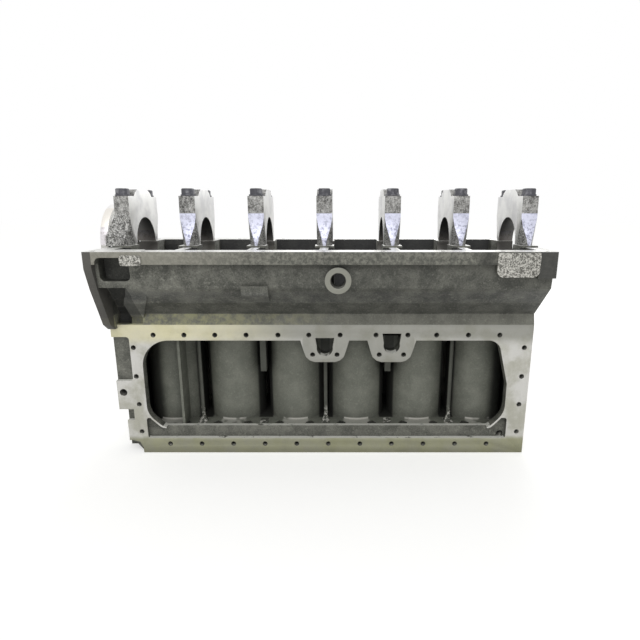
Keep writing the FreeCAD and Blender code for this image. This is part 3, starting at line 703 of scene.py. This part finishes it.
def softened_copy(node, width, name, fit=None):
    """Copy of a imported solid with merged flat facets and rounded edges, in its place."""
    mesh = frame["nodes"][node].data.copy()
    mesh.name = name
    piece = bpy.data.objects.new(name, mesh)
    bpy.context.scene.collection.objects.link(piece)
    work = bmesh.new()
    work.from_mesh(mesh)
    bmesh.ops.remove_doubles(work, verts=work.verts, dist=0.002 * MM)
    bmesh.ops.dissolve_limit(work, angle_limit=math.radians(0.6), verts=work.verts,
                             edges=work.edges, delimit=set())
    if fit:
        fit(work, node)
    work.to_mesh(mesh)
    work.free()
    mesh.materials.clear()
    rounding = piece.modifiers.new("rounded_edges", "BEVEL")
    rounding.width = width
    rounding.segments = 2
    rounding.limit_method = "ANGLE"
    rounding.angle_limit = math.radians(32)
    rounded = piece.evaluated_get(bpy.context.evaluated_depsgraph_get())
    applied = bpy.data.meshes.new_from_object(rounded)
    piece.modifiers.clear()
    piece.data = applied
    applied.name = name
    for polygon in applied.polygons:
        polygon.use_smooth = True
    applied.set_sharp_from_angle(angle=math.radians(34))
    return piece


def dress(piece, material, node):
    """Give a piece its material and body, and hide the node it stands for."""
    piece.data.materials.append(material)
    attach(piece, "root")
    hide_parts(node)


def hole_mouths(mount):
    """Centres of a mount's holes in its face."""
    centre, axis, dims = Vector(mount["pos_m"]), Vector(mount["axis"]), mount["dims"]
    if mount["kind"] == "threaded_hole":
        return [centre + axis * dims["length_mm"] * MM / 2]
    across = Vector((0, 1, 0)) if abs(axis.x) > 0.5 else Vector((1, 0, 0))
    upward = Vector((0, 1, 0)) if abs(axis.z) > 0.5 else Vector((0, 0, 1))
    dx, dy = (dims.get(key, 0) * MM / 2 for key in ("spacing_x_mm", "spacing_y_mm"))
    offsets = {(sx * dx, sy * dy) for sx in (-1, 1) for sy in (-1, 1)}
    return [centre + across * a + upward * b for a, b in sorted(offsets)]


def thread_group(name, mount, radius, length, pitch, material):
    """Helical thread crests inside the holes of one mount."""
    steps, crest = 18, 0.55 * pitch           # points in a turn, height of a crest
    axis = Vector(mount["axis"])
    side = axis.orthogonal().normalized()
    other = axis.cross(side)
    wall = radius - 0.03 * MM                 # just inside the hole's wall
    work = bmesh.new()
    for mouth in hole_mouths(mount):
        start = mouth - axis * 2 * MM         # the first turn starts below the mouth
        rows = []
        for i in range(int((length - 3.5 * MM) / pitch) * steps + 1):
            turn, level = 2 * math.pi * i / steps, -pitch * i / steps
            radial = side * math.cos(turn) + other * math.sin(turn)
            rows.append([work.verts.new(start + radial * reach + axis * (level + lift * pitch))
                         for reach, lift in ((wall, 0.45), (wall - crest, 0.0), (wall, -0.45))])
        for a, b in zip(rows, rows[1:]):
            work.faces.new((a[0], b[0], b[1], a[1]))
            work.faces.new((a[1], b[1], b[2], a[2]))
    mesh = bpy.data.meshes.new("threads_" + name)
    work.to_mesh(mesh)
    work.free()
    mesh.materials.append(material)
    piece = bpy.data.objects.new("threads_" + name, mesh)
    bpy.context.scene.collection.objects.link(piece)
    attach(piece, "root")


# Operators

class BLOCK_OT_casting(bpy.types.Operator):
    """Soften the casting's edges and give it its iron finish."""
    bl_idname = "block.casting"
    bl_label = "Casting"

    def execute(self, context):
        settings = context.scene.block_iron
        piece = softened_copy("cylinder_block", settings.edge, "casting", fit=fit_casting)
        dress(piece, block_iron(settings), "cylinder_block")
        return {"FINISHED"}


class BLOCK_OT_threads(bpy.types.Operator):
    """Cut threads into the tapped holes of the cover flange, rails, pads and bosses."""
    bl_idname = "block.threads"
    bl_label = "Threads"

    def execute(self, context):
        # Grey iron cut by a tap: dark in the hole, with lighter crests
        material = steel("tapped_grey_iron", linear("#4c4c47"), linear("#7d7c74"), 0.5, 0.5,
                         1 * MM)
        for name, mount in MOUNTS.items():
            radius = mount["dims"].get("r_mm", mount["dims"].get("hole_r_mm", 0)) * MM
            if mount["kind"] not in ("threaded_hole", "bolt_pattern") or not radius:
                continue
            if name.startswith("head_bolts"):
                continue
            length = mount["dims"].get("length_mm", 14.0) * MM
            pitch = 2 * MM if radius > 10 * MM else 1.5 * MM
            if name.startswith(("cover_", "port_tab")):
                radius *= COVER_HOLE_OPENING
            thread_group(name, mount, radius, length, pitch, material)
        return {"FINISHED"}


class BLOCK_OT_caps(bpy.types.Operator):
    """Soften and finish the seven main bearing caps."""
    bl_idname = "block.caps"
    bl_label = "Main caps"

    def execute(self, context):
        settings = context.scene.cap_iron
        cast, milled = cap_iron(settings, True), cap_iron(settings, False)
        for node in [n for n in NODES if n.startswith("main_cap_") and n[-1].isdigit()]:
            piece = softened_copy(node, settings.edge, node + "_finished", fit=trim_cap_foot)
            dress(piece, cast if node.endswith("_1") else milled, node)
        return {"FINISHED"}


class BLOCK_OT_fasteners(bpy.types.Operator):
    """Finish the cap bolts, plugs and dowels."""
    bl_idname = "block.fasteners"
    bl_label = "Bolts, plugs and dowels"

    def execute(self, context):
        settings = context.scene.bolt_steel
        looks = {
            # Forged and phosphated: dull and dark, paler where a socket has rubbed it
            "main_cap_bolt": ("bolt_steel", steel(
                "phosphated_forged_steel", tuple(settings.phosphate), linear("#8e8e92"),
                0.5, 0.7, 1.5 * MM)),
            # Pressed sheet: a warm half gloss with pale scuffs
            "core_plug": ("plug_steel", steel(
                "pressed_plug_steel", tuple(settings.plug), linear("#c2beb0"),
                0.45, 0.8, 2 * MM)),
            # Turned: a little glossier, with darker patches
            "oil_gallery_plug": ("plug_steel", steel(
                "turned_plug_steel", tuple(settings.plug), linear("#7c786c"),
                0.4, 0.85, 1 * MM)),
            # Ground: bright and smooth
            "rear_dowel": ("dowel_steel", steel(
                "ground_dowel_steel", tuple(settings.dowel), linear("#aeb0ae"),
                0.28, 0.95, 0.8 * MM)),
        }
        for node in NODES:
            for start, (slot, material) in looks.items():
                if node.startswith(start):
                    piece = softened_copy(node, settings.edge, node + "_finished")
                    dress(piece, material, node)
        return {"FINISHED"}


class BLOCK_OT_stage(bpy.types.Operator):
    """Set the floor, lamps, world and camera."""
    bl_idname = "block.stage"
    bl_label = "Stage"

    def execute(self, context):
        settings = context.scene.block_stage
        make_floor(settings)
        make_world(settings)
        make_lamps(settings)
        make_camera(settings)
        context.scene.view_settings.view_transform = "Standard"
        return {"FINISHED"}


# Stage

def white_ray(tree):
    """1 for rays that should see a plain white background."""
    rays = add(tree, "LightPath").node.outputs
    return any_of(tree, [rays["Is Camera Ray"], rays["Is Glossy Ray"],
                         rays["Is Transmission Ray"]])


def make_floor(settings):
    """Pale floor that keeps the block's shadow."""
    mesh = bpy.data.meshes.new("floor")
    work = bmesh.new()
    bmesh.ops.create_grid(work, x_segments=4, y_segments=4, size=12.0)
    work.to_mesh(mesh)
    work.free()
    floor = bpy.data.objects.new("floor", mesh)
    bpy.context.scene.collection.objects.link(floor)
    # Matt paint: an even white that only the shadow darkens
    material, tree = new_material("pale_painted_floor")
    paint = add(tree, "BsdfDiffuse", {"Color": tuple(settings.floor_colour)})
    place = add(tree, "TexCoord", out="Object")
    reach = add(tree, "VectorMath", (place,), "Value", operation="LENGTH")
    # Far from the lamps the floor needs more added white; near the block its shadow has to stay
    level = add(tree, "Mix", {0: fade(tree, reach, 0.7, 2.5),
                              VALUE_A: settings.floor_glow * 0.7, VALUE_B: settings.floor_glow})
    glow = add(tree, "Emission", {"Color": linear("#ffffff"),
                                  "Strength": all_of(tree, [white_ray(tree), level])})
    both = add(tree, "AddShader", (paint, glow))
    add(tree, "OutputMaterial", (both,))
    mesh.materials.append(material)


def make_world(settings):
    """Even light from all sides, with a white background to look at."""
    world = bpy.data.worlds.new("studio")
    world.use_nodes = True
    tree = world.node_tree
    tree.nodes.clear()
    light = add(tree, "Background", {"Color": linear("#ffffff"), "Strength": settings.ambient})
    seen = add(tree, "Background", {"Color": linear("#ffffff"), "Strength": 1.0})
    both = add(tree, "MixShader", (white_ray(tree), light, seen))
    add(tree, "OutputWorld", (both,))
    bpy.context.scene.world = world


def make_lamps(settings):
    """Two large soft lamps."""
    for name, place, power, size in (
            ("key_lamp", (-0.25, -1.9, 2.1), settings.key, 1.8),
            ("fill_lamp", (0.4, 1.8, 1.6), settings.fill, 1.6)):
        lamp = bpy.data.lights.new(name, "AREA")
        lamp.energy = power
        lamp.shape = "SQUARE"
        lamp.size = size
        item = bpy.data.objects.new(name, lamp)
        item.location = place
        aim = Vector((0, 0, 0.25)) - Vector(place)      # at the middle of the block
        item.rotation_euler = aim.to_track_quat("-Z", "Y").to_euler()
        bpy.context.scene.collection.objects.link(item)


def make_camera(settings):
    """Camera a little above the pan rail, in front of the cover side."""
    camera = bpy.data.cameras.new("camera")
    camera.lens = settings.lens
    camera.sensor_width = 36.0
    camera.shift_x = -0.0273
    camera.shift_y = 0.0188
    camera.clip_start = 0.01
    item = bpy.data.objects.new("camera", camera)
    item.location = (0.0249, -1.0497, 0.4963)
    item.rotation_euler = (math.radians(90 - 14.28), 0, 0)
    bpy.context.scene.collection.objects.link(item)
    bpy.context.scene.camera = item


# Add-on

class BLOCK_PT_looks(bpy.types.Panel):
    """Sidebar panel with one button for each group of pieces."""
    bl_idname = "BLOCK_PT_looks"
    bl_label = "Cylinder block"
    bl_space_type = "VIEW_3D"
    bl_region_type = "UI"
    bl_category = "Block"

    def draw(self, context):
        layout = self.layout
        for operator in OPERATORS:
            layout.operator(operator.bl_idname)
        for name in SETTINGS:
            group = getattr(context.scene, name)
            box = layout.box()
            for key in group.__annotations__:
                box.prop(group, key)


SETTINGS = {"block_iron": BlockIronSettings, "cap_iron": CapIronSettings,
            "bolt_steel": BoltSteelSettings, "block_stage": StageSettings}
OPERATORS = (BLOCK_OT_casting, BLOCK_OT_threads, BLOCK_OT_caps, BLOCK_OT_fasteners,
             BLOCK_OT_stage)


def register():
    """Add the settings, the operators and the panel."""
    for group in SETTINGS.values():
        bpy.utils.register_class(group)
    for operator in OPERATORS:
        bpy.utils.register_class(operator)
    bpy.utils.register_class(BLOCK_PT_looks)
    for name, group in SETTINGS.items():
        setattr(bpy.types.Scene, name, bpy.props.PointerProperty(type=group))


def unregister():
    """Take the panel, the operators and the settings away."""
    for name in SETTINGS:
        delattr(bpy.types.Scene, name)
    bpy.utils.unregister_class(BLOCK_PT_looks)
    for item in reversed(OPERATORS + tuple(SETTINGS.values())):
        bpy.utils.unregister_class(item)


def main():
    """Make every piece and the stage."""
    register()
    bpy.ops.block.casting()
    bpy.ops.block.threads()
    bpy.ops.block.caps()
    bpy.ops.block.fasteners()
    bpy.ops.block.stage()


if __name__ == "__main__":
    main()
